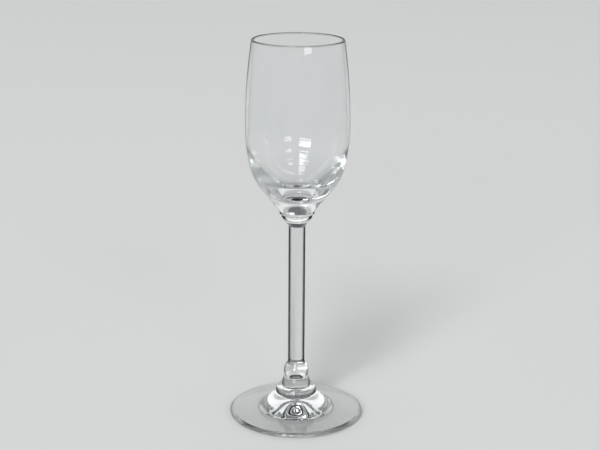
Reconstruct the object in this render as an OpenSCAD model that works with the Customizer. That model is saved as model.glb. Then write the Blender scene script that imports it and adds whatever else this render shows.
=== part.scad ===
// Cordial glass: a slim bowl with a solid heel, on a straight rod stem with a ball knop low
// down, two rounded collars and a wide foot with a raised middle.
// All of it is clear glass, made as separate gathers and joined hot, face to face.
// +Z runs up the axis of the glass, and z = 0 is the surface that its foot rests on.

/* [Glass] */
// Height of the whole glass; the rod takes up what the other parts leave
glass_h = 160; // [145:1:185]

/* [Bowl] */
// Height of the bowl, from its seat on the merese to the rim
bowl_h = 70.7; // [66:0.1:76]
// Diameter over the rim
rim_d = 37.4; // [35:0.1:39]
// Diameter at the widest part
belly_d = 42.5; // [41.5:0.1:45]
// Height of the widest part above the seat
belly_h = 36; // [34:0.1:39]
// Radius of the side below the widest part
flank_r = 76.5; // [65:0.5:95]
// Height above the seat where the side bends into the heel
bend_h = 19.1; // [17.5:0.1:20.5]
// Radius of the bend between the side and the straight cone of the heel
bend_r = 24; // [18:0.5:28]
// Diameter of the seat at the end of the heel
seat_d = 14.2; // [13:0.1:15.5]

/* [Cavity] */
// Thickness of the wall at the rim
rim_wall = 0.9; // [0.7:0.05:1.3]
// Thickness of the wall at the widest part of the cavity
side_wall = 1.3; // [1.1:0.05:1.8]
// Thickness of the solid heel under the cavity
heel_t = 7; // [5.5:0.1:9]
// Depth of the rounded bottom of the cavity
cup_depth = 23.2; // [20:0.1:26]
// Fullness of the rounded bottom, where 1 is a cone and 2 an ellipse
cup_fullness = 1.85; // [1.6:0.05:2]

/* [Merese] */
// Diameter of the merese, the button between the bowl and the stem
merese_d = 14.4; // [13.6:0.1:17]
// Thickness of the merese
merese_t = 1.2; // [1:0.1:2]
// Radius of the rounded edges of the merese
merese_round_r = 0.35; // [0.2:0.05:0.5]

/* [Stem] */
// Diameter of the rod
rod_d = 6.9; // [6:0.1:7.4]
// Diameter of the shoulder under the merese
shoulder_d = 12.6; // [11.6:0.1:13.4]
// Height of the shoulder, from the end of the rod to the merese
shoulder_h = 5.2; // [4.5:0.1:7]
// Height of the upright side at the top of the shoulder
shoulder_side_h = 1.5; // [1.3:0.1:2.2]
// Radius of the bend between the shoulder's cone and its upright side
shoulder_bend_r = 2; // [1:0.1:2.2]
// Radius of the rounded upper edge of the shoulder
shoulder_round_r = 0.5; // [0.3:0.05:0.55]
// Diameter of the flare where the rod spreads on to the knop
flare_d = 7.8; // [7.3:0.1:8.8]
// Radius of the flare's hollow curve
flare_r = 2.2; // [1.6:0.1:3]

/* [Knop] */
// Diameter of the ball knop
knop_d = 10.4; // [9.6:0.1:11.4]
// Diameter of the flat on which the ball sits
knop_seat_d = 9; // [6.5:0.1:9.2]

/* [Collars] */
// Diameter of the upper collar
upper_collar_d = 11.9; // [11.2:0.1:13.4]
// Diameter of the upper collar's flat top, inside its shoulder
upper_collar_top_d = 9.2; // [9:0.1:10.4]
// Height of the upper collar
upper_collar_h = 4.3; // [4:0.1:5.4]
// Height of the upper collar's oval shoulder
upper_shoulder_h = 3.3; // [1:0.1:3.6]
// Diameter of the lower collar
lower_collar_d = 16.9; // [16.2:0.1:17.2]
// Diameter of the lower collar's flat top, inside its shoulder
lower_collar_top_d = 14.9; // [13.6:0.1:16]
// Height of the lower collar
lower_collar_h = 2.9; // [2.4:0.1:4]
// Height of the lower collar's oval shoulder
lower_shoulder_h = 1.6; // [0.6:0.1:1.9]
// Radius of the rounded lower edges of the collars
collar_round_r = 0.4; // [0.2:0.05:0.6]

/* [Foot] */
// Diameter of the foot
foot_d = 56.3; // [50:0.1:62]
// Thickness of the foot at its rounded edge
foot_edge_t = 2.2; // [1.8:0.1:2.6]
// How far the rounding of the edge reaches inwards
foot_edge_w = 2.1; // [1:0.1:2.6]
// Thickness of the brim where the slope of the raised middle meets it
foot_root_t = 2.8; // [2.6:0.1:3.6]
// Diameter at which the slope of the raised middle meets the brim
dome_d = 31.8; // [28:0.1:36]
// Diameter at which that slope meets the top
dome_top_d = 18; // [17.8:0.1:20]
// Height of the raised middle, where the lower collar sits
dome_h = 9.2; // [8.6:0.1:10.5]
// Radius of the rounded upper edge of the raised middle
dome_round_r = 0.9; // [0.4:0.1:1.1]
// Radius of the hollow corner around the raised middle
dome_fillet_r = 3; // [1:0.1:5]

/* [Underside] */
// Width of the flat ring that the glass rests on
rest_w = 0.9; // [0.6:0.1:2]
// Rise of the shallow hollow inside the resting ring
hollow_h = 1.1; // [0.5:0.1:1.4]
// Diameter of the kick, the pushed up middle of the underside
kick_d = 22; // [16:0.5:26]
// Rise of the kick above the hollow
kick_h = 2; // [0.5:0.1:3.5]

/* [Hidden] */
$fn = 96;
clear_glass = [0.87, 0.91, 0.92, 0.45];

// Steps of a long curve, of a short round and of a full formula curve
curve_steps = 14;
round_steps = 5;
formula_steps = 28;

// Radii of the round pieces
rim_r = rim_d / 2;
belly_r = belly_d / 2;
seat_r = seat_d / 2;
rod_r = rod_d / 2;
shoulder_r = shoulder_d / 2;
flare_seat_r = flare_d / 2;
knop_r = knop_d / 2;
foot_r = foot_d / 2;
dome_r = dome_d / 2;
dome_top_r = dome_top_d / 2;
kick_r = kick_d / 2;

// The ball stands out of its two flats by these heights, below and above its centre
knop_drop = sqrt(knop_r ^ 2 - (knop_seat_d / 2) ^ 2);
knop_rise = sqrt(knop_r ^ 2 - flare_seat_r ^ 2);

// Height of each joint above the table
lower_collar_z = dome_h;
upper_collar_z = lower_collar_z + lower_collar_h;
knop_z = upper_collar_z + upper_collar_h + knop_drop;
stem_z = knop_z + knop_rise;
bowl_z = glass_h - bowl_h;
merese_z = bowl_z - merese_t;
stem_l = merese_z - stem_z;

// Points of an oval arc about a centre, from one angle to another
function oval_arc(centre, half_w, half_h, from, to, steps) = [
    for (i = [0 : steps])
        let (a = from + (to - from) * i / steps)
        centre + [half_w * cos(a), half_h * sin(a)]
];

function arc(centre, r, from, to, steps) = oval_arc(centre, r, r, from, to, steps);

// Outline of a thick round disc with a rounded lower edge, and an oval shoulder round its flat top
function disc_outline(side_r, top_r, h, round_r, shoulder_h) = concat(
    [[0, 0]],
    arc([side_r - round_r, round_r], round_r, -90, 0, round_steps),
    oval_arc([top_r, h - shoulder_h], side_r - top_r, shoulder_h, 0, 90, curve_steps),
    [[0, h]]
);

// The side leans in by flank_lean where it meets the bend, and the heel's cone is the tangent
// from the edge of the seat to the circle of the bend.
flank_lean = asin((belly_h - bend_h) / flank_r);
bend_centre = [
    belly_r - flank_r * (1 - cos(flank_lean)) - bend_r * cos(flank_lean),
    bend_h + bend_r * sin(flank_lean)
];
seat_to_bend = bend_centre - [seat_r, 0];
heel_lean = 90 - atan2(seat_to_bend.y, seat_to_bend.x) + asin(bend_r / norm(seat_to_bend));

// The upper side is one arc from the widest part, where it is upright, to the rim.
rim_round_r = rim_wall / 2;
rim_rise = bowl_h - rim_round_r - belly_h;
rim_draw = belly_r - rim_r;
upper_r = (rim_rise ^ 2 + rim_draw ^ 2) / (2 * rim_draw);

// The wall of the cavity is an arc of the same kind, above its rounded bottom.
cup_r = belly_r - side_wall;
cup_z = heel_t + cup_depth;
wall_rise = bowl_h - rim_round_r - cup_z;
wall_draw = cup_r - (rim_r - rim_wall);
wall_r = (wall_rise ^ 2 + wall_draw ^ 2) / (2 * wall_draw);

// A point of the rounded bottom, from the wall at 0 degrees to the middle at 90
function cup_point(a) = [
    cup_r * cos(a) ^ (2 / cup_fullness),
    cup_z - cup_depth * sin(a) ^ (2 / cup_fullness)
];

module bowl() {
    outer_side = concat(
        arc(bend_centre, bend_r, -heel_lean, -flank_lean, curve_steps),
        arc([belly_r - flank_r, belly_h], flank_r, -flank_lean, 0, curve_steps),
        arc([belly_r - upper_r, belly_h], upper_r, 0, asin(rim_rise / upper_r), curve_steps)
    );
    rim = arc([rim_r - rim_round_r, bowl_h - rim_round_r], rim_round_r, 0, 180, 2 * round_steps);
    cavity = concat(
        arc([cup_r - wall_r, cup_z], wall_r, asin(wall_rise / wall_r), 0, curve_steps),
        [for (i = [1 : formula_steps]) cup_point(90 * i / formula_steps)]
    );
    color(clear_glass)
        translate([0, 0, bowl_z])
        rotate_extrude()
        polygon(concat([[0, 0], [seat_r, 0]], outer_side, rim, cavity));
}

module merese() {
    color(clear_glass)
        translate([0, 0, merese_z])
        rotate_extrude()
        polygon(disc_outline(merese_d / 2, merese_d / 2 - merese_round_r, merese_t, merese_round_r,
            merese_round_r));
}

module stem() {
    // The flare is a hollow arc that ends upright on the rod.
    flare_turn = acos((rod_r + flare_r - flare_seat_r) / flare_r);
    flare_h = flare_r * sin(flare_turn);
    // The bend rounds the corner between the shoulder's cone and its upright side.
    cone_h = shoulder_h - shoulder_side_h;
    cone_lean = atan((shoulder_r - rod_r) / cone_h);
    bend_z = stem_l - shoulder_side_h + shoulder_bend_r * tan(cone_lean / 2);
    color(clear_glass)
        translate([0, 0, stem_z])
        rotate_extrude()
        polygon(concat(
            [[0, 0]],
            arc([rod_r + flare_r, flare_h], flare_r, 180 + flare_turn, 180, round_steps),
            [[rod_r, stem_l - shoulder_h]],
            arc([shoulder_r - shoulder_bend_r, bend_z], shoulder_bend_r, -cone_lean, 0, round_steps),
            arc([shoulder_r - shoulder_round_r, stem_l - shoulder_round_r], shoulder_round_r, 0, 90,
                round_steps),
            [[0, stem_l]]
        ));
}

module knop() {
    color(clear_glass)
        translate([0, 0, knop_z])
        intersection() {
            sphere(r = knop_r);
            translate([0, 0, -knop_drop])
                cylinder(r = knop_d, h = knop_drop + knop_rise);
        }
}

module upper_collar() {
    color(clear_glass)
        translate([0, 0, upper_collar_z])
        rotate_extrude()
        polygon(disc_outline(upper_collar_d / 2, upper_collar_top_d / 2, upper_collar_h,
            collar_round_r, upper_shoulder_h));
}

module lower_collar() {
    color(clear_glass)
        translate([0, 0, lower_collar_z])
        rotate_extrude()
        polygon(disc_outline(lower_collar_d / 2, lower_collar_top_d / 2, lower_collar_h,
            collar_round_r, lower_shoulder_h));
}

module foot() {
    rest_r = foot_r - foot_edge_w - rest_w;
    edge_half_t = foot_edge_t / 2;
    // The slope falls away from the level by this angle, and an arc rounds each of its ends.
    slope = atan((dome_h - foot_root_t) / (dome_r - dome_top_r));
    round_centre = [dome_top_r - dome_round_r * tan(slope / 2), dome_h - dome_round_r];
    fillet_centre = [dome_r + dome_fillet_r * tan(slope / 2), foot_root_t + dome_fillet_r];
    // Height of the underside: a shallow hollow, and the kick as one wave about the axis
    function under_z(r) = hollow_h * (1 - (r / rest_r) ^ 2)
        + (r < kick_r ? kick_h * (1 + cos(180 * r / kick_r)) / 2 : 0);
    color(clear_glass)
        rotate_extrude()
        polygon(concat(
            [[0, dome_h]],
            arc(round_centre, dome_round_r, 90, 90 - slope, round_steps),
            arc(fillet_centre, dome_fillet_r, 270 - slope, 270, round_steps),
            oval_arc([foot_r - foot_edge_w, edge_half_t], foot_edge_w, edge_half_t, 90, -90, curve_steps),
            [for (i = [0 : formula_steps]) let (r = rest_r * (1 - i / formula_steps)) [r, under_z(r)]]
        ));
}

bowl();
merese();
stem();
knop();
upper_collar();
lower_collar();
foot();
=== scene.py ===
"""Cordial glass in clear glass: each gather is turned on a Geometry Nodes lathe around the packed frame.

All sizes are in metres. The glass stands on z = 0 with its axis on Z. An outline is a list of
(radius, height) points that runs up the outside of a piece, from the axis at its foot to the axis at its top.
"""

import math

import bpy
from bpy.props import FloatProperty, FloatVectorProperty, IntProperty, PointerProperty
from bpy.types import Operator, Panel, PropertyGroup
from mathutils import Euler, Matrix, Vector


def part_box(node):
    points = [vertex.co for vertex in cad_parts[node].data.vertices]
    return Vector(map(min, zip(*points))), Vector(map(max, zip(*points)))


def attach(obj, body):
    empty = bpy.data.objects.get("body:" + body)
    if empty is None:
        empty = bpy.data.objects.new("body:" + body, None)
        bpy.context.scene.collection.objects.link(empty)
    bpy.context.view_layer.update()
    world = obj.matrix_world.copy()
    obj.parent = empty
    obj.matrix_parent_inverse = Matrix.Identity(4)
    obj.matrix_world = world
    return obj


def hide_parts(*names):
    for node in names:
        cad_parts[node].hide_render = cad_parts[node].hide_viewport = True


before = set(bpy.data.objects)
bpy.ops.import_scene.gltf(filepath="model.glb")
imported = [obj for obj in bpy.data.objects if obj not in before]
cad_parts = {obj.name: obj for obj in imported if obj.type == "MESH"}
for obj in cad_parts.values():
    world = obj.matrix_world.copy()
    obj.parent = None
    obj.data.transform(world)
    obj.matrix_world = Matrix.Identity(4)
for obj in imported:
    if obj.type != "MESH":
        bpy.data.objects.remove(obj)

bl_info = {
    "name": "Cordial glass",
    "version": (1, 0, 0),
    "blender": (4, 5, 0),
    "location": "3D View > Sidebar > Cordial glass",
    "description": "Builds a stemmed cordial glass in clear glass, with its stage",
    "category": "Add Mesh",
}

MM = 0.001
BODY = "root"

# A corner that folds by more than this stays sharp
SHARP_FOLD = math.radians(30)
# Points nearer to each other than this are one point
SAME_POINT = 1e-7
# What a stretch may be over a whole number of steps by the computer's rounding alone
SLACK = 1e-6
# The fewest steps in any arc
ARC_STEPS = 6
# The length of a step in a small rounded edge and in an oval shoulder, as a share of its radius
EDGE_STEP, SHOULDER_STEP = 1 / 4, 1 / 16
# The columns of the lathe's grid are merged where they lie nearer to each other than this
MERGE_GAP = 1e-6
# A face of the lathe is in a joint where the mean of its corners' marks, which are 0 or 1, is above this
IN_JOINT = 0.99
# The Z of a face's direction up to which it counts as upright, and from which it counts as level
UPRIGHT, LEVEL = 0.15, 0.95


def low_z(node):
    """Height of the bottom of a node."""
    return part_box(node)[0].z


def high_z(node):
    """Height of the top of a node."""
    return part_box(node)[1].z


def radius_of(node):
    """Largest radius of a node, which is round about Z."""
    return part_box(node)[1].x


def length(name, description, metres):
    """A size in metres that the panel shows as a length."""
    return FloatProperty(name=name, description=description, default=metres, min=0.0,
                         unit="LENGTH", subtype="DISTANCE", precision=5)


def angle(name, description, degrees):
    """An angle in degrees that the panel shows as an angle."""
    return FloatProperty(name=name, description=description, default=math.radians(degrees),
                         subtype="ANGLE")


def colour(name, description, hex_value):
    """A colour that is written as sRGB hex and kept linear."""
    return FloatVectorProperty(name=name, description=description, default=linear(hex_value)[:3],
                               min=0.0, max=1.0, size=3, subtype="COLOR")


def linear(hex_value):
    """An sRGB hex colour as linear red, green, blue and alpha."""
    shares = [int(hex_value[i:i + 2], 16) / 255 for i in (1, 3, 5)]
    bent = [s / 12.92 if s <= 0.04045 else ((s + 0.055) / 1.055) ** 2.4 for s in shares]
    return (*bent, 1.0)


WHITE = linear("#ffffff")

# Sizes and colours that a user would change

class BowlSizes(PropertyGroup):
    """Sizes of the bowl and its cavity."""

    rim_r: length("Rim radius", "Outer radius at the rim", 18.7 * MM)
    belly_r: length("Belly radius", "Largest outer radius", radius_of("bowl"))
    belly_h: length("Belly height", "Height of the widest part above the seat", 36 * MM)
    flank_r: length("Flank", "Radius of the side below the widest part", 76.5 * MM)
    bend_h: length("Bend height", "Height above the seat where the side bends into the heel", 19.1 * MM)
    bend_r: length("Bend", "Radius of the bend between the side and the cone of the heel", 24 * MM)
    seat_r: length("Seat radius", "Radius of the seat at the end of the heel", 7.1 * MM)
    rim_wall: length("Rim wall", "Thickness of the wall at the rim", 0.9 * MM)
    side_wall: length("Side wall", "Thickness of the wall at the widest part of the cavity", 1.3 * MM)
    heel_t: length("Heel", "Thickness of the solid glass under the cavity", 7 * MM)
    cup_depth: length("Cup depth", "Depth of the rounded bottom of the cavity", 23.2 * MM)
    cup_fullness: FloatProperty(name="Cup fullness", default=1.85, min=1.0, max=2.5,
                                description="Shape of the rounded bottom: 1 is a cone, 2 an ellipse")


class StemSizes(PropertyGroup):
    """Sizes of the merese, the rod, the knop and the collars."""

    merese_round_r: length("Merese edge", "Radius of the rounded edges of the merese", 0.35 * MM)
    rod_r: length("Rod radius", "Radius of the straight rod", 3.45 * MM)
    shoulder_h: length("Shoulder height", "From the end of the rod to the merese", 5.2 * MM)
    shoulder_side_h: length("Shoulder side", "Height of the upright side of the shoulder", 1.5 * MM)
    shoulder_bend_r: length("Shoulder bend", "Radius of the bend under the upright side", 2 * MM)
    shoulder_round_r: length("Shoulder edge", "Radius of the rounded upper edge", 0.5 * MM)
    flare_seat_r: length("Flare radius", "Radius of the flare where it sits on the knop", 3.9 * MM)
    flare_r: length("Flare curve", "Radius of the flare's hollow curve", 2.2 * MM)
    knop_r: length("Knop radius", "Radius of the ball knop", 5.2 * MM)
    knop_seat_r: length("Knop seat", "Radius of the flat on which the ball sits", 4.5 * MM)
    upper_top_r: length("Upper collar top", "Radius of the upper collar's flat top", 4.6 * MM)
    upper_shoulder_h: length("Upper collar shoulder", "Height of the upper collar's oval shoulder", 3.3 * MM)
    lower_top_r: length("Lower collar top", "Radius of the lower collar's flat top", 7.45 * MM)
    lower_shoulder_h: length("Lower collar shoulder", "Height of the lower collar's oval shoulder", 1.6 * MM)
    collar_round_r: length("Collar edges", "Radius of the rounded lower edges of the collars", 0.4 * MM)


class FootSizes(PropertyGroup):
    """Sizes of the foot and its underside."""

    edge_t: length("Edge thickness", "Thickness at the rounded edge", 2.2 * MM)
    edge_w: length("Edge width", "How far the rounding of the edge reaches inwards", 2.1 * MM)
    root_t: length("Root thickness", "Thickness where the slope of the raised middle meets the brim",
                   2.8 * MM)
    dome_r: length("Dome radius", "Radius at which the slope of the raised middle meets the brim",
                   15.9 * MM)
    dome_top_r: length("Dome top", "Radius at which that slope meets the top", 9 * MM)
    dome_round_r: length("Dome edge", "Radius of the rounded upper edge of the raised middle", 0.9 * MM)
    dome_fillet_r: length("Dome corner", "Radius of the hollow corner round the raised middle", 3 * MM)
    rest_w: length("Resting ring", "Width of the flat ring that the glass rests on", 0.9 * MM)
    hollow_h: length("Hollow", "Rise of the shallow hollow inside the resting ring", 1.1 * MM)
    kick_r: length("Kick radius", "Radius of the kick, the pushed up middle of the underside", 11 * MM)
    kick_h: length("Kick rise", "Rise of the kick above the hollow", 2 * MM)


class GlassLook(PropertyGroup):
    """Look of the clear glass."""

    body_tint: colour("Body tint", "Colour that the glass gives to what is seen through it", "#fcfdfd")
    # Painted shade: the dark colour laid on the glass where a face turns edge on to the eye
    painted_edge_shade: colour("Edge tint", "Colour of the glass where it is seen edge on", "#4a5153")
    depth_tint: colour("Depth tint", "Colour that light takes on where it goes far through the glass",
                       "#969a99")
    depth: length("Depth", "How far light goes through the glass until it has the depth tint", 70 * MM)
    ior: FloatProperty(name="IOR", description="How strongly the glass bends light", default=1.52,
                       min=1.3, max=1.9)
    # Painted shade: how strongly, and over what height, the grey line is laid on the bead of the rim
    painted_rim_line_share: FloatProperty(name="Rim share", default=0.4, min=0.0, max=1.0,
                             description="How much of the edge tint the bead of the rim shows")
    painted_rim_line_height: length("Rim band", "Height of the grey line at the bead of the rim", 0.9 * MM)
    cord_size: length("Cord size", "Distance between the faint cords in the glass", 3.5 * MM)
    cord_stretch: FloatProperty(name="Cord stretch", default=0.18, min=0.01, max=1.0,
                                description="Width of a cord as a share of its height")
    haze: FloatProperty(name="Haze", description="Roughness of the skin along the cords", default=0.012,
                        min=0.0, max=0.2)
    wave_size: length("Wave size", "Distance between the waves in the fire polished surface", 14 * MM)
    wave_height: length("Wave height", "Height of those waves", 0.012 * MM)
    sides: IntProperty(name="Sides", description="Faces round each piece", default=240, min=32, max=512)
    step: length("Step", "Longest stretch of an outline that one face covers", 0.55 * MM)


class StageSettings(PropertyGroup):
    """Floor, surroundings and lamps."""

    floor: colour("Floor", "Colour of the plain floor", "#d5d5d5")
    horizon: colour("Horizon", "Colour of the surroundings above the level of the glass", "#e4e5e5")
    ceiling: colour("Ceiling", "Colour of the surroundings overhead", "#7c7f81")
    level_to: angle("Level to", "Elevation up to which the floor's tone fades out", 14)
    pale_up_to: angle("Pale up to", "Elevation up to which the surroundings are pale", 27)
    dim_from: angle("Dim from", "Elevation from which the surroundings are dim", 50)
    lamp_light: colour("Lamp light", "Colour of the light from the lamps", "#ffffff")
    lamp_power: FloatProperty(name="Lamp power", description="Watts for each square metre of lamp",
                              default=38, min=0)
    lamp_distance: length("Lamp distance", "From the middle of the glass to each lamp", 14)


# Outlines

def arc(centre, radius, start, end, step, half_h=None):
    """Points of an arc about a centre, between two angles in degrees. With half_h it is an oval's."""
    turn = math.radians(end - start)
    steps = max(ARC_STEPS, math.ceil(abs(turn) * radius / step))
    angles = [math.radians(start) + turn * i / steps for i in range(steps + 1)]
    half_h = half_h or radius
    return [(centre[0] + radius * math.cos(a), centre[1] + half_h * math.sin(a)) for a in angles]


def filled_in(outline, step):
    """The same outline with long straight stretches divided, and no point given twice."""
    points = [outline[0]]
    for r, z in outline[1:]:
        r0, z0 = points[-1]
        gap = math.dist((r0, z0), (r, z))
        if gap <= SAME_POINT:
            continue
        parts = max(1, math.ceil(gap / step - SLACK))
        points += [(r0 + (r - r0) * i / parts, z0 + (z - z0) * i / parts) for i in range(1, parts + 1)]
    return points


def bowl_outline(s, seat_z, rim_z, step):
    """The bowl: heel cone, bend, flank, upper side, rim bead, and back down the cavity."""
    height = rim_z - seat_z
    flank_lean = math.degrees(math.asin((s.belly_h - s.bend_h) / s.flank_r))
    lean = math.radians(flank_lean)
    bend = (s.belly_r - s.flank_r * (1 - math.cos(lean)) - s.bend_r * math.cos(lean),
            s.bend_h + s.bend_r * math.sin(lean))
    reach = math.dist(bend, (s.seat_r, 0))
    heel_lean = 90 - math.degrees(math.atan2(bend[1], bend[0] - s.seat_r) - math.asin(s.bend_r / reach))
    rim_round = s.rim_wall / 2
    rise, draw = height - rim_round - s.belly_h, s.belly_r - s.rim_r
    upper_r = (rise ** 2 + draw ** 2) / (2 * draw)
    rim_lean = math.degrees(math.asin(rise / upper_r))
    cup_r, cup_z = s.belly_r - s.side_wall, s.heel_t + s.cup_depth
    wall_rise, wall_draw = height - rim_round - cup_z, cup_r - (s.rim_r - s.rim_wall)
    wall_r = (wall_rise ** 2 + wall_draw ** 2) / (2 * wall_draw)
    wall_lean = math.degrees(math.asin(wall_rise / wall_r))

    def cup_point(turn):
        across = math.cos(turn) ** (2 / s.cup_fullness) if turn < math.pi / 2 else 0.0
        return cup_r * across, cup_z - s.cup_depth * math.sin(turn) ** (2 / s.cup_fullness)

    outline = [(s.seat_r, 0)]
    outline += arc(bend, s.bend_r, -heel_lean, -flank_lean, step)
    outline += arc((s.belly_r - s.flank_r, s.belly_h), s.flank_r, -flank_lean, 0, step)
    outline += arc((s.belly_r - upper_r, s.belly_h), upper_r, 0, rim_lean, step)
    outline += arc((s.rim_r - rim_round, height - rim_round), rim_round, 0, 180, rim_round * EDGE_STEP)
    outline += arc((cup_r - wall_r, cup_z), wall_r, wall_lean, 0, step)
    turns = math.ceil(math.pi / 2 * cup_r / step) * 2
    outline += [cup_point(math.pi / 2 * i / turns) for i in range(1, turns + 1)]
    return [(r, z + seat_z) for r, z in outline]


def disc_outline(side_r, top_r, round_r, shoulder_h, low, high):
    """A thick round disc with a rounded lower edge, and an oval shoulder round its flat top."""
    shoulder_w = side_r - top_r
    return (arc((side_r - round_r, low + round_r), round_r, -90, 0, round_r * EDGE_STEP)
            + arc((top_r, high - shoulder_h), shoulder_w, 0, 90, shoulder_w * SHOULDER_STEP, shoulder_h))


def stem_outline(s, shoulder_r, low, high):
    """The rod, with the flare at its lower end and the shoulder at its upper end."""
    flare_turn = math.degrees(math.acos((s.rod_r + s.flare_r - s.flare_seat_r) / s.flare_r))
    flare_h = s.flare_r * math.sin(math.radians(flare_turn))
    cone_h = s.shoulder_h - s.shoulder_side_h
    lean = math.degrees(math.atan((shoulder_r - s.rod_r) / cone_h))
    bend_z = high - s.shoulder_side_h + s.shoulder_bend_r * math.tan(math.radians(lean / 2))
    fine = s.shoulder_round_r * EDGE_STEP
    return (arc((s.rod_r + s.flare_r, low + flare_h), s.flare_r, 180 + flare_turn, 180, fine)
            + [(s.rod_r, high - s.shoulder_h)]
            + arc((shoulder_r - s.shoulder_bend_r, bend_z), s.shoulder_bend_r, -lean, 0, fine)
            + arc((shoulder_r - s.shoulder_round_r, high - s.shoulder_round_r), s.shoulder_round_r,
                  0, 90, fine))


def knop_outline(s, low, high, step):
    """The ball, cut flat where it joins its neighbours."""
    drop = math.sqrt(s.knop_r ** 2 - s.knop_seat_r ** 2)
    start = -math.degrees(math.acos(s.knop_seat_r / s.knop_r))
    end = math.degrees(math.asin((high - low - drop) / s.knop_r))
    return arc((0, low + drop), s.knop_r, start, end, step / 2)


def foot_outline(s, foot_r, low, high, step):
    """The foot: raised middle, rounded edge, resting ring, hollow and kick. It runs from the top down."""
    rest_r, half_t = foot_r - s.edge_w - s.rest_w, s.edge_t / 2
    rise = high - low
    slope = math.degrees(math.atan((rise - s.root_t) / (s.dome_r - s.dome_top_r)))
    bend = math.tan(math.radians(slope / 2))
    round_centre = (s.dome_top_r - s.dome_round_r * bend, high - s.dome_round_r)
    fillet_centre = (s.dome_r + s.dome_fillet_r * bend, low + s.root_t + s.dome_fillet_r)
    fine = s.dome_round_r / 6
    outline = arc(round_centre, s.dome_round_r, 90, 90 - slope, fine)
    outline += arc(fillet_centre, s.dome_fillet_r, 270 - slope, 270, fine)
    outline += arc((foot_r - s.edge_w, low + half_t), s.edge_w, 90, -90, fine, half_t)
    steps = math.ceil(rest_r / step) * 2
    for i in range(steps + 1):
        r = rest_r * (1 - i / steps)
        kick = s.kick_h * (1 + math.cos(math.pi * r / s.kick_r)) / 2 if r < s.kick_r else 0
        outline.append((r, low + s.hollow_h * (1 - (r / rest_r) ** 2) + kick))
    return outline


# Nodes

def add(tree, kind, links=None, **settings):
    """Adds a node with its settings, and gives its inputs a value or a link each."""
    made = tree.nodes.new(kind)
    for name, value in settings.items():
        setattr(made, name, value)
    for name, value in (links or {}).items():
        if isinstance(value, bpy.types.NodeSocket):
            tree.links.new(value, made.inputs[name])
        else:
            made.inputs[name].default_value = value
    return made


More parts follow.
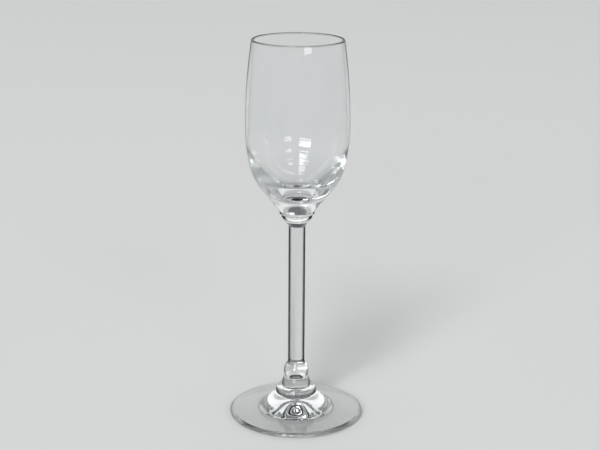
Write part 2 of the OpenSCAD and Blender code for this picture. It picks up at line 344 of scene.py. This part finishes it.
def lathe_tree():
    """Turns an outline about Z into a closed skin, and gives its joint faces their own material."""
    tree = bpy.data.node_groups.get("Lathe")
    if tree:
        return tree
    tree = bpy.data.node_groups.new("Lathe", "GeometryNodeTree")
    sockets = tree.interface
    sockets.new_socket("Outline", in_out="INPUT", socket_type="NodeSocketGeometry")
    sockets.new_socket("Sides", in_out="INPUT", socket_type="NodeSocketInt")
    sockets.new_socket("Sharp From", in_out="INPUT", socket_type="NodeSocketFloat")
    sockets.new_socket("Merge Distance", in_out="INPUT", socket_type="NodeSocketFloat")
    sockets.new_socket("Glass", in_out="INPUT", socket_type="NodeSocketMaterial")
    sockets.new_socket("Joint", in_out="INPUT", socket_type="NodeSocketMaterial")
    sockets.new_socket("Skin", in_out="OUTPUT", socket_type="NodeSocketGeometry")
    given = add(tree, "NodeGroupInput").outputs
    # A grid with one column for each side and one row for each point of the outline
    size = add(tree, "GeometryNodeAttributeDomainSize", {"Geometry": given["Outline"]}, component="MESH")
    rows = size.outputs["Point Count"]
    columns = add(tree, "FunctionNodeIntegerMath", {0: given["Sides"], 1: 1}, operation="ADD").outputs[0]
    grid = add(tree, "GeometryNodeMeshGrid", {"Vertices X": columns, "Vertices Y": rows}).outputs["Mesh"]
    index = add(tree, "GeometryNodeInputIndex").outputs[0]
    row = add(tree, "FunctionNodeIntegerMath", {0: index, 1: rows}, operation="MODULO").outputs[0]
    column = add(tree, "FunctionNodeIntegerMath", {0: index, 1: rows}, operation="DIVIDE_FLOOR").outputs[0]
    # Each column takes the outline's points and turns them to its own angle
    place = add(tree, "GeometryNodeInputPosition").outputs[0]
    point = add(tree, "GeometryNodeSampleIndex",
                {"Geometry": given["Outline"], "Value": place, "Index": row},
                data_type="FLOAT_VECTOR").outputs["Value"]
    joined_point = add(tree, "GeometryNodeInputNamedAttribute", {"Name": "joined"}, data_type="FLOAT")
    joined_row = add(tree, "GeometryNodeSampleIndex",
                     {"Geometry": given["Outline"], "Value": joined_point.outputs[0], "Index": row},
                     data_type="FLOAT").outputs["Value"]
    slice_angle = add(tree, "ShaderNodeMath", {0: math.tau, 1: given["Sides"]}, operation="DIVIDE").outputs[0]
    turn = add(tree, "ShaderNodeMath", {0: column, 1: slice_angle}, operation="MULTIPLY").outputs[0]
    turned = add(tree, "ShaderNodeVectorRotate", {"Vector": point, "Angle": turn}, rotation_type="Z_AXIS")
    skin = add(tree, "GeometryNodeSetPosition", {"Geometry": grid, "Position": turned.outputs[0]}).outputs[0]
    skin = add(tree, "GeometryNodeStoreNamedAttribute",
               {"Geometry": skin, "Name": "joined", "Value": joined_row}, data_type="FLOAT").outputs[0]
    skin = add(tree, "GeometryNodeMergeByDistance",
               {"Geometry": skin, "Distance": given["Merge Distance"]}).outputs[0]
    # Smooth faces, with the corners of the joints kept sharp
    skin = add(tree, "GeometryNodeSetShadeSmooth", {"Geometry": skin, "Shade Smooth": True}).outputs[0]
    fold = add(tree, "GeometryNodeInputMeshEdgeAngle").outputs["Unsigned Angle"]
    sharp = add(tree, "FunctionNodeCompare", {"A": fold, "B": given["Sharp From"]},
                operation="GREATER_THAN").outputs[0]
    skin = add(tree, "GeometryNodeSetShadeSmooth",
               {"Geometry": skin, "Selection": sharp, "Shade Smooth": False}, domain="EDGE").outputs[0]
    skin = add(tree, "GeometryNodeRealizeInstances", {"Geometry": skin}).outputs[0]
    skin = add(tree, "GeometryNodeSetMaterial", {"Geometry": skin, "Material": given["Glass"]}).outputs[0]
    joined = add(tree, "GeometryNodeInputNamedAttribute", {"Name": "joined"}, data_type="FLOAT").outputs[0]
    inside = add(tree, "FunctionNodeCompare", {"A": joined, "B": IN_JOINT},
                 operation="GREATER_THAN").outputs[0]
    skin = add(tree, "GeometryNodeSetMaterial",
               {"Geometry": skin, "Selection": inside, "Material": given["Joint"]}).outputs[0]
    add(tree, "NodeGroupOutput", {"Skin": skin})
    return tree


def turn_piece(node, outline, glass, low_joint=0.0, high_joint=0.0):
    """Turns an outline into the piece that stands for a node.

    A joint radius is that of the flat where the piece ran together with its neighbour, below or above.
    """
    look = bpy.context.scene.glass_look
    low, high = min(z for _, z in outline), max(z for _, z in outline)
    if low_joint:
        outline = [(0.0, low), (low_joint, low), *outline]
    if high_joint:
        outline = [*outline, (high_joint, high), (0.0, high)]
    points = [outline[0], *filled_in(outline[1:-1], look.step), outline[-1]]
    points = [p for i, p in enumerate(points) if i == 0 or math.dist(p, points[i - 1]) > SAME_POINT]
    mesh = bpy.data.meshes.new(node)
    mesh.from_pydata([(r, 0.0, z) for r, z in points], [(i, i + 1) for i in range(len(points) - 1)], [])
    joined = mesh.attributes.new("joined", "FLOAT", "POINT")
    for i, (r, z) in enumerate(points):
        at_low = low_joint and z - low < SAME_POINT and r < low_joint + SAME_POINT
        at_high = high_joint and high - z < SAME_POINT and r < high_joint + SAME_POINT
        joined.data[i].value = 1.0 if at_low or at_high else 0.0
    piece = bpy.data.objects.new(f"glass_{node}", mesh)
    bpy.context.collection.objects.link(piece)
    lathe = piece.modifiers.new("Lathe", "NODES")
    lathe.node_group = lathe_tree()
    values = {"Sides": look.sides, "Sharp From": SHARP_FOLD, "Merge Distance": MERGE_GAP,
              "Glass": glass, "Joint": fused_joint()}
    for item in lathe.node_group.interface.items_tree:
        if item.in_out == "INPUT" and item.name in values:
            lathe[item.identifier] = values[item.name]
    evaluated = piece.evaluated_get(bpy.context.evaluated_depsgraph_get())
    turned = bpy.data.meshes.new_from_object(evaluated)
    piece.modifiers.remove(lathe)
    turned.materials.pop(index=0)
    piece.data = turned
    turned.name = piece.name
    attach(piece, BODY)
    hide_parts(node)


# Materials

def new_material(name):
    """A new material and its node tree, which is still empty."""
    made = bpy.data.materials.new(name)
    made.use_nodes = True
    made.node_tree.nodes.clear()
    return made, made.node_tree


def clear_glass(look, made_by, painted_edge_from, painted_edge_to, painted_edge_share, rim_z=math.inf):
    """Clear soda-lime glass, named for how its piece was made: blown, drawn or pressed, then fire polished.

    The flame leaves a skin with no grain, but with long low waves that bend the highlights, and the
    gathers leave faint cords, where the glass is a shade denser. Where a face turns edge on to the eye,
    a dark edge of painted shade is mixed into its colour, and a slim rod gets that painted edge over
    more of its width than a wide bowl does: painted_edge_from and painted_edge_to say how far a face has
    to turn away from the eye for it, and painted_edge_share says how much of it shows.
    """
    name = f"clear_glass_{made_by}"
    made = bpy.data.materials.get(name)
    if made:
        return made
    made, tree = new_material(name)
    place = add(tree, "ShaderNodeTexCoord").outputs["Object"]
    # Cords run up the glass, the way that it was drawn
    drawn = add(tree, "ShaderNodeMapping", {"Vector": place, "Scale": (1, 1, look.cord_stretch)}).outputs[0]
    cords = add(tree, "ShaderNodeTexNoise",
                {"Vector": drawn, "Scale": 1 / look.cord_size, "Detail": 2}).outputs[0]
    # Painted shade: Facing picks out where a face turns edge on, for the dark edge mixed into the colour
    facing = add(tree, "ShaderNodeLayerWeight", {"Blend": 0.5}).outputs["Facing"]
    edge = add(tree, "ShaderNodeMapRange", {"Value": facing, "From Min": painted_edge_from, "From Max": painted_edge_to},
               interpolation_type="SMOOTHSTEP").outputs[0]
    # The painted dark edge goes only on an upright side: a shoulder or a brim that faces up or down stays
    # clear
    face = add(tree, "ShaderNodeNewGeometry").outputs
    lean = add(tree, "ShaderNodeSeparateXYZ", {"Vector": face["Normal"]}).outputs["Z"]
    lean = add(tree, "ShaderNodeMath", {0: lean}, operation="ABSOLUTE").outputs[0]
    upright = add(tree, "ShaderNodeMapRange",
                  {"Value": lean, "From Min": UPRIGHT, "From Max": LEVEL,
                   "To Min": 1.0, "To Max": 0.0}).outputs[0]
    upright = add(tree, "ShaderNodeMath", {0: upright, 1: painted_edge_share}, operation="MULTIPLY").outputs[0]
    edge = add(tree, "ShaderNodeMath", {0: edge, 1: upright}, operation="MULTIPLY").outputs[0]
    if rim_z < math.inf:
        # The bead of the rim is a lens too small to look through; a grey line of painted shade is laid on it
        height = add(tree, "ShaderNodeSeparateXYZ", {"Vector": place}).outputs["Z"]
        rim = add(tree, "ShaderNodeMapRange",
                  {"Value": height, "From Min": rim_z - look.painted_rim_line_height, "From Max": rim_z,
                   "To Max": look.painted_rim_line_share}).outputs[0]
        edge = add(tree, "ShaderNodeMath", {0: edge, 1: rim}, operation="MAXIMUM").outputs[0]
    # Light on its way out has lost a little to the glass that it went through, which darkens thick glass
    way = add(tree, "ShaderNodeLightPath").outputs["Ray Length"]
    way = add(tree, "ShaderNodeMapRange", {"Value": way, "From Max": look.depth}).outputs[0]
    deep = add(tree, "ShaderNodeMath", {0: way, 1: face["Backfacing"]}, operation="MULTIPLY").outputs[0]
    body = add(tree, "ShaderNodeMix", {"Factor": cords, "A": (*look.body_tint, 1), "B": WHITE},
               data_type="RGBA").outputs["Result"]
    body = add(tree, "ShaderNodeMix", {"Factor": deep, "A": body, "B": (*look.depth_tint, 1)},
               data_type="RGBA").outputs["Result"]
    # Painted shade: the dark edge colour is mixed in where that mask is high
    tint = add(tree, "ShaderNodeMix", {"Factor": edge, "A": body, "B": (*look.painted_edge_shade, 1)},
               data_type="RGBA").outputs["Result"]
    waves = add(tree, "ShaderNodeTexNoise",
                {"Vector": place, "Scale": 1 / look.wave_size, "Detail": 1, "Roughness": 0.3}).outputs[0]
    skin = add(tree, "ShaderNodeBump",
               {"Strength": 1.0, "Distance": look.wave_height, "Height": waves}).outputs[0]
    haze = add(tree, "ShaderNodeMapRange", {"Value": cords, "To Min": 0.0, "To Max": look.haze}).outputs[0]
    # The glass shader tints what is mirrored inside the glass as well as what goes through
    glass = add(tree, "ShaderNodeBsdfGlass",
                {"Color": tint, "Roughness": haze, "IOR": look.ior, "Normal": skin})
    add(tree, "ShaderNodeOutputMaterial", {"Surface": glass.outputs[0]})
    return made


def blown_glass(context):
    """The glass of the bowl, which is blown, and of the foot, which is spun out wide."""
    # The numbers say where and how strongly the painted dark edge shows
    return clear_glass(context.scene.glass_look, "blown", painted_edge_from=0.74, painted_edge_to=1.0, painted_edge_share=0.6,
                       rim_z=high_z("bowl"))


def drawn_glass(context):
    """The glass of the rod, drawn out slim."""
    # The numbers say where and how strongly the painted dark edge shows
    return clear_glass(context.scene.glass_look, "drawn", painted_edge_from=0.22, painted_edge_to=0.52, painted_edge_share=1.0)


def pressed_glass(context):
    """The glass of the knop, the collars and the merese, pressed to shape with a tool."""
    # The numbers say where and how strongly the painted dark edge shows
    return clear_glass(context.scene.glass_look, "pressed", painted_edge_from=0.3, painted_edge_to=0.75, painted_edge_share=0.9)


def fused_joint():
    """The face where two hot gathers of clear glass ran together.

    Nothing is left of it to see, so light goes straight on.
    """
    made = bpy.data.materials.get("fused_joint")
    if made:
        return made
    made, tree = new_material("fused_joint")
    clear = add(tree, "ShaderNodeBsdfTransparent", {"Color": WHITE})
    add(tree, "ShaderNodeOutputMaterial", {"Surface": clear.outputs[0]})
    return made


# Operators

class MakeBowl(Operator):
    """Turns the bowl, with its solid heel, cavity and rim"""

    bl_idname = "cordial_glass.make_bowl"
    bl_label = "Bowl"

    def execute(self, context):
        sizes, stem = context.scene.glass_bowl, context.scene.glass_stem
        joint = min(sizes.seat_r, radius_of("merese") - stem.merese_round_r)
        outline = bowl_outline(sizes, low_z("bowl"), high_z("bowl"), context.scene.glass_look.step)
        turn_piece("bowl", outline, blown_glass(context), low_joint=joint)
        return {"FINISHED"}


class MakeMerese(Operator):
    """Turns the merese, the button between the bowl and the stem"""

    bl_idname = "cordial_glass.make_merese"
    bl_label = "Merese"

    def execute(self, context):
        sizes, bowl = context.scene.glass_stem, context.scene.glass_bowl
        edge, radius = sizes.merese_round_r, radius_of("merese")
        flat = radius - edge
        outline = disc_outline(radius, flat, edge, edge, low_z("merese"), high_z("merese"))
        turn_piece("merese", outline, pressed_glass(context),
                   low_joint=radius_of("stem") - sizes.shoulder_round_r, high_joint=min(bowl.seat_r, flat))
        return {"FINISHED"}


class MakeStem(Operator):
    """Draws the rod, with its shoulder and its flare"""

    bl_idname = "cordial_glass.make_stem"
    bl_label = "Stem"

    def execute(self, context):
        sizes = context.scene.glass_stem
        outline = stem_outline(sizes, radius_of("stem"), low_z("stem"), high_z("stem"))
        turn_piece("stem", outline, drawn_glass(context), low_joint=sizes.flare_seat_r,
                   high_joint=radius_of("stem") - sizes.shoulder_round_r)
        return {"FINISHED"}


class MakeKnop(Operator):
    """Turns the ball knop"""

    bl_idname = "cordial_glass.make_knop"
    bl_label = "Knop"

    def execute(self, context):
        sizes = context.scene.glass_stem
        outline = knop_outline(sizes, low_z("knop"), high_z("knop"), context.scene.glass_look.step)
        turn_piece("knop", outline, pressed_glass(context), low_joint=sizes.knop_seat_r,
                   high_joint=sizes.flare_seat_r)
        return {"FINISHED"}


class MakeCollars(Operator):
    """Turns the upper and the lower collar"""

    bl_idname = "cordial_glass.make_collars"
    bl_label = "Collars"

    def execute(self, context):
        sizes = context.scene.glass_stem
        edge = sizes.collar_round_r
        upper_joint = radius_of("upper_collar") - edge
        upper = disc_outline(radius_of("upper_collar"), sizes.upper_top_r, edge, sizes.upper_shoulder_h,
                             low_z("upper_collar"), high_z("upper_collar"))
        turn_piece("upper_collar", upper, pressed_glass(context), low_joint=upper_joint,
                   high_joint=sizes.knop_seat_r)
        lower = disc_outline(radius_of("lower_collar"), sizes.lower_top_r, edge, sizes.lower_shoulder_h,
                             low_z("lower_collar"), high_z("lower_collar"))
        turn_piece("lower_collar", lower, pressed_glass(context), low_joint=radius_of("lower_collar") - edge,
                   high_joint=upper_joint)
        return {"FINISHED"}


class MakeFoot(Operator):
    """Turns the foot, with its raised middle, its resting ring and its kick"""

    bl_idname = "cordial_glass.make_foot"
    bl_label = "Foot"

    def execute(self, context):
        sizes, stem = context.scene.glass_foot, context.scene.glass_stem
        outline = foot_outline(sizes, radius_of("foot"), low_z("foot"), high_z("foot"),
                               context.scene.glass_look.step)
        turn_piece("foot", outline[::-1], blown_glass(context),
                   high_joint=radius_of("lower_collar") - stem.collar_round_r)
        return {"FINISHED"}


class MakeStage(Operator):
    """Lays the plain floor, and sets the lamps, the surroundings and the camera"""

    bl_idname = "cordial_glass.make_stage"
    bl_label = "Stage"

    def execute(self, context):
        settings = context.scene.glass_stage
        make_floor(settings)
        make_surroundings(context.scene, settings)
        make_lamps(settings)
        make_camera(context.scene)
        context.scene.view_settings.view_transform = "Standard"
        # Light crosses a dozen faces on its way through the heel and the foot
        cycles = context.scene.cycles
        cycles.max_bounces = cycles.transmission_bounces = cycles.transparent_max_bounces = 32
        cycles.glossy_bounces = 16
        return {"FINISHED"}


# Stage

def make_floor(settings):
    """A wide plain floor, a hair under the resting ring so that the two faces never coincide."""
    half_width, gap = 8.0, 0.05 * MM
    mesh = bpy.data.meshes.new("floor")
    corners = [(x * half_width, y * half_width, -gap) for x, y in ((-1, -1), (1, -1), (1, 1), (-1, 1))]
    mesh.from_pydata(corners, [], [(0, 1, 2, 3)])
    floor = bpy.data.objects.new("floor", mesh)
    bpy.context.collection.objects.link(floor)
    paint, tree = new_material("matte_floor_paint")
    matte = add(tree, "ShaderNodeBsdfDiffuse", {"Color": (*settings.floor, 1)})
    add(tree, "ShaderNodeOutputMaterial", {"Surface": matte.outputs[0]})
    mesh.materials.append(paint)


def make_surroundings(scene, settings):
    """Plain surroundings, the same on every side: the floor's tone low down, then pale, and dim overhead."""
    world = bpy.data.worlds.new("surroundings")
    scene.world = world
    world.use_nodes = True
    tree = world.node_tree
    tree.nodes.clear()
    direction = add(tree, "ShaderNodeTexCoord").outputs["Generated"]
    height = add(tree, "ShaderNodeSeparateXYZ", {"Vector": direction}).outputs["Z"]
    level, pale, dim = (math.sin(up) for up in (settings.level_to, settings.pale_up_to, settings.dim_from))
    dimming = add(tree, "ShaderNodeMapRange", {"Value": height, "From Min": pale, "From Max": dim},
                  interpolation_type="SMOOTHSTEP").outputs[0]
    above = add(tree, "ShaderNodeMix",
                {"Factor": dimming, "A": (*settings.horizon, 1), "B": (*settings.ceiling, 1)},
                data_type="RGBA").outputs["Result"]
    # Low down the surroundings take the floor's tone, so that no hard line shows where the two meet
    lift = add(tree, "ShaderNodeMapRange", {"Value": height, "From Min": 0.0, "From Max": level},
               interpolation_type="SMOOTHSTEP").outputs[0]
    shade = add(tree, "ShaderNodeMix", {"Factor": lift, "A": (*settings.floor, 1), "B": above},
                data_type="RGBA").outputs["Result"]
    light = add(tree, "ShaderNodeBackground", {"Color": shade, "Strength": 1.0})
    add(tree, "ShaderNodeOutputWorld", {"Surface": light.outputs[0]})


def make_lamps(settings):
    """Soft lamps: a column of panels on the left, a dimmer one on the right, and a wide lamp behind.

    Each has an azimuth from the camera's side, an elevation, the degrees that it spans across and up,
    and its share of the lamp power. The bowl mirrors the columns as the bright marks in its lower half.
    """
    lamps = {
        "left_low_strip": (-19, 10.5, 28, 1.6, 1.0),
        "left_low_panel": (-19, 17.5, 28, 9, 1.0),
        "left_middle_strip": (-19, 31.5, 24, 2.6, 1.0),
        "left_high_panel": (-19, 42.5, 20, 11, 1.0),
        "left_top_panel": (-21, 57.5, 10, 18, 1.0),
        "right_low_panel": (24, 10, 17, 7, 0.45),
        "right_high_panel": (24, 29, 15, 8, 0.45),
        "lamp_behind": (180, 31, 96, 34, 0.04),
    }
    distance, aim = settings.lamp_distance, Vector((0, 0, 80 * MM))
    for name, (azimuth, elevation, across, up, share) in lamps.items():
        a, e = math.radians(azimuth), math.radians(elevation)
        outwards = Vector((math.sin(a) * math.cos(e), -math.cos(a) * math.cos(e), math.sin(e)))
        width, height = (2 * distance * math.tan(math.radians(span) / 2) for span in (across, up))
        data = bpy.data.lights.new(name, "AREA")
        data.shape, data.size, data.size_y = "RECTANGLE", width, height
        data.energy = settings.lamp_power * share * width * height
        data.color = settings.lamp_light
        lamp = bpy.data.objects.new(name, data)
        lamp.location = aim + outwards * distance
        lamp.rotation_euler = outwards.to_track_quat("Z", "Y").to_euler()
        lamp.visible_camera = False
        bpy.context.collection.objects.link(lamp)


def make_camera(scene):
    """The camera at the photograph's viewing angle, in front of the glass on its -Y side."""
    back, up = 538.6 * MM, 241 * MM
    pitch, roll, yaw = (math.radians(degrees) for degrees in (16.34, 0.39, -0.13))
    image_width, focal_pixels = 600, 1361
    data = bpy.data.cameras.new("camera")
    data.lens = data.sensor_width * focal_pixels / image_width
    camera = bpy.data.objects.new("camera", data)
    turn = Matrix.Rotation(yaw, 3, "Z") @ Euler((math.pi / 2 - pitch, 0, 0)).to_matrix()
    camera.matrix_world = (Matrix.Translation((0, -back, up))
                           @ (turn @ Matrix.Rotation(roll, 3, "Z")).to_4x4())
    bpy.context.collection.objects.link(camera)
    scene.camera = camera


# Panel

class GlassPanel(Panel):
    """Lists the pieces and their sizes"""

    bl_idname = "VIEW3D_PT_cordial_glass"
    bl_label = "Cordial glass"
    bl_space_type = "VIEW_3D"
    bl_region_type = "UI"
    bl_category = "Cordial glass"

    def draw(self, context):
        for maker in MAKERS:
            self.layout.operator(maker.bl_idname)
        for name, group in GROUPS.items():
            box = self.layout.box()
            box.label(text=group.__doc__)
            for field in group.__annotations__:
                box.prop(getattr(context.scene, name), field)


# Registration, and the run as a script

MAKERS = (MakeBowl, MakeMerese, MakeStem, MakeKnop, MakeCollars, MakeFoot, MakeStage)
GROUPS = {"glass_bowl": BowlSizes, "glass_stem": StemSizes, "glass_foot": FootSizes,
          "glass_look": GlassLook, "glass_stage": StageSettings}


def register():
    """Registers the sizes, the operators and the panel."""
    for group in GROUPS.values():
        bpy.utils.register_class(group)
    for name, group in GROUPS.items():
        setattr(bpy.types.Scene, name, PointerProperty(type=group))
    for maker in (*MAKERS, GlassPanel):
        bpy.utils.register_class(maker)


def unregister():
    """Takes them all back."""
    for maker in reversed((*MAKERS, GlassPanel)):
        bpy.utils.unregister_class(maker)
    for name, group in reversed(GROUPS.items()):
        delattr(bpy.types.Scene, name)
        bpy.utils.unregister_class(group)


def main():
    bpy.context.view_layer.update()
    register()
    bpy.ops.cordial_glass.make_bowl()
    bpy.ops.cordial_glass.make_merese()
    bpy.ops.cordial_glass.make_stem()
    bpy.ops.cordial_glass.make_knop()
    bpy.ops.cordial_glass.make_collars()
    bpy.ops.cordial_glass.make_foot()
    bpy.ops.cordial_glass.make_stage()


if __name__ == "__main__":
    main()
